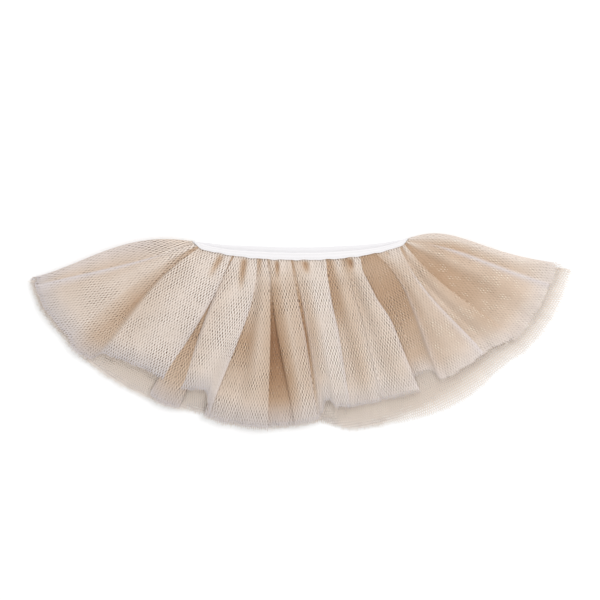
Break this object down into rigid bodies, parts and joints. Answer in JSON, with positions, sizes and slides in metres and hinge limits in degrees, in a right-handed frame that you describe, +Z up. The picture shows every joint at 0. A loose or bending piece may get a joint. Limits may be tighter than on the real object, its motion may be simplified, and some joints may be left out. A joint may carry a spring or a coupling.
{
  "type": "baby's ballet tutu skirt laid flat",
  "caption": "Gathered net ballet skirt for a baby, laid flat: narrow white waistband over a champagne net layer and a finer cream one, fanned out in deep flutes.",
  "frame": {"origin": "on the surface it lies on, under the middle of the whole laid-out skirt", "axes": "+X from the skirt's left side fold to its right one as seen from above, +Y towards the waistband, +Z up from the surface"},
  "size_m": [0.4838, 0.1746, 0.0171],
  "materials": {
    "waistband_binding": "white stretch binding, soft and matte",
    "top_net": "stiff champagne net with small holes and a fine metallic thread that glints",
    "under_net": "fine soft cream net, faintly glittering"
  },
  "bodies": {
    "root": {"waistband": "waistband_binding", "top_net_layer": "top_net", "under_net_layer": "under_net"}
  },
  "joints": []
}
